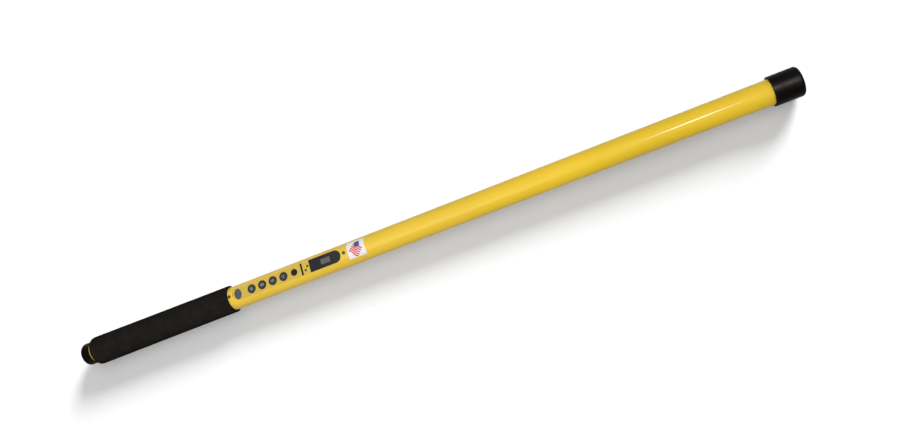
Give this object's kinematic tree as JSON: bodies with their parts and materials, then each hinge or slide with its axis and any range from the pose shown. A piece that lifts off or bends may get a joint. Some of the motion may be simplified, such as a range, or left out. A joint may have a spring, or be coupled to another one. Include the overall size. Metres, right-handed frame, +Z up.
{
  "type": "magnetic locator",
  "caption": "Long yellow tube wand for finding buried iron, with a foam grip, push buttons and a display set in a flat on the tube, and a soft cap on the sensing tip.",
  "frame": {"origin": "on the surface that the wand lies on, under the middle of its length", "axes": "+X along the tube towards the sensing tip, +Z up, out of the control panel"},
  "size_m": [1.066, 0.042, 0.042],
  "materials": {
    "yellow_tube": "gloss",
    "yellow_overlay": "satin",
    "black_vinyl": "satin",
    "black_foam": "matte",
    "button_rubber": "matte",
    "black_plastic": "matte",
    "dark_window": "gloss",
    "display_glass": "gloss",
    "white_plastic": "satin",
    "dark_steel": "satin",
    "steel": "satin",
    "brass": "satin",
    "copper_winding": "gloss",
    "cell_wrap": "satin",
    "green_board": "satin",
    "glass_fibre": "satin",
    "soft_rubber": "matte",
    "grey_foam": "matte",
    "grey_cable": "satin",
    "red_lead": "satin"
  },
  "bodies": {
    "wand": {"housing_tube": "yellow_tube", "tip_cap": "black_vinyl", "tip_cushion": "grey_foam", "foam_grip": "black_foam", "rear_battery": "cell_wrap", "front_battery": "cell_wrap", "battery_sleeve": "black_plastic", "return_strip": "brass", "battery_bulkhead": "black_plastic", "bulkhead_contact": "brass", "power_leads": "red_lead", "panel_overlay": "yellow_overlay", "panel_screws": "dark_steel", "lcd_window": "dark_window", "lcd_glass": "display_glass", "lcd_backlight": "white_plastic", "sound_port": "black_plastic", "sounder": "black_plastic", "chassis": "black_plastic", "main_board": "green_board", "board_screws": "steel", "push_switches": "steel", "board_chips": "black_plastic", "sensor_socket": "white_plastic", "power_socket": "white_plastic", "sensor_tube": "glass_fibre", "centring_rings": "soft_rubber", "sensor_cables": "grey_cable", "lower_former": "white_plastic", "lower_winding": "copper_winding", "lower_core": "steel", "upper_former": "white_plastic", "upper_winding": "copper_winding", "upper_core": "steel"},
    "battery_cap": {"battery_cap": "black_vinyl", "cap_contact": "brass", "contact_spring": "steel"},
    "light_button": {"light_button": "button_rubber"},
    "volume_button": {"volume_button": "button_rubber"},
    "gain_button": {"gain_button": "button_rubber"},
    "power_button": {"power_button": "button_rubber"}
  },
  "joints": [
    {"name": "battery_cap_pull", "type": "slide", "parent": "wand", "child": "battery_cap", "axis": [-1, 0, 0], "range_m": [0, 0.04]},
    {"name": "light_press", "type": "slide", "parent": "wand", "child": "light_button", "axis": [0, 0, -1], "range_m": [0, 0.0008], "stiffness_N_per_m": 1500},
    {"name": "volume_press", "type": "slide", "parent": "wand", "child": "volume_button", "axis": [0, 0, -1], "range_m": [0, 0.0008], "stiffness_N_per_m": 1500},
    {"name": "gain_press", "type": "slide", "parent": "wand", "child": "gain_button", "axis": [0, 0, -1], "range_m": [0, 0.0008], "stiffness_N_per_m": 1500},
    {"name": "power_press", "type": "slide", "parent": "wand", "child": "power_button", "axis": [0, 0, -1], "range_m": [0, 0.0008], "stiffness_N_per_m": 1500}
  ]
}
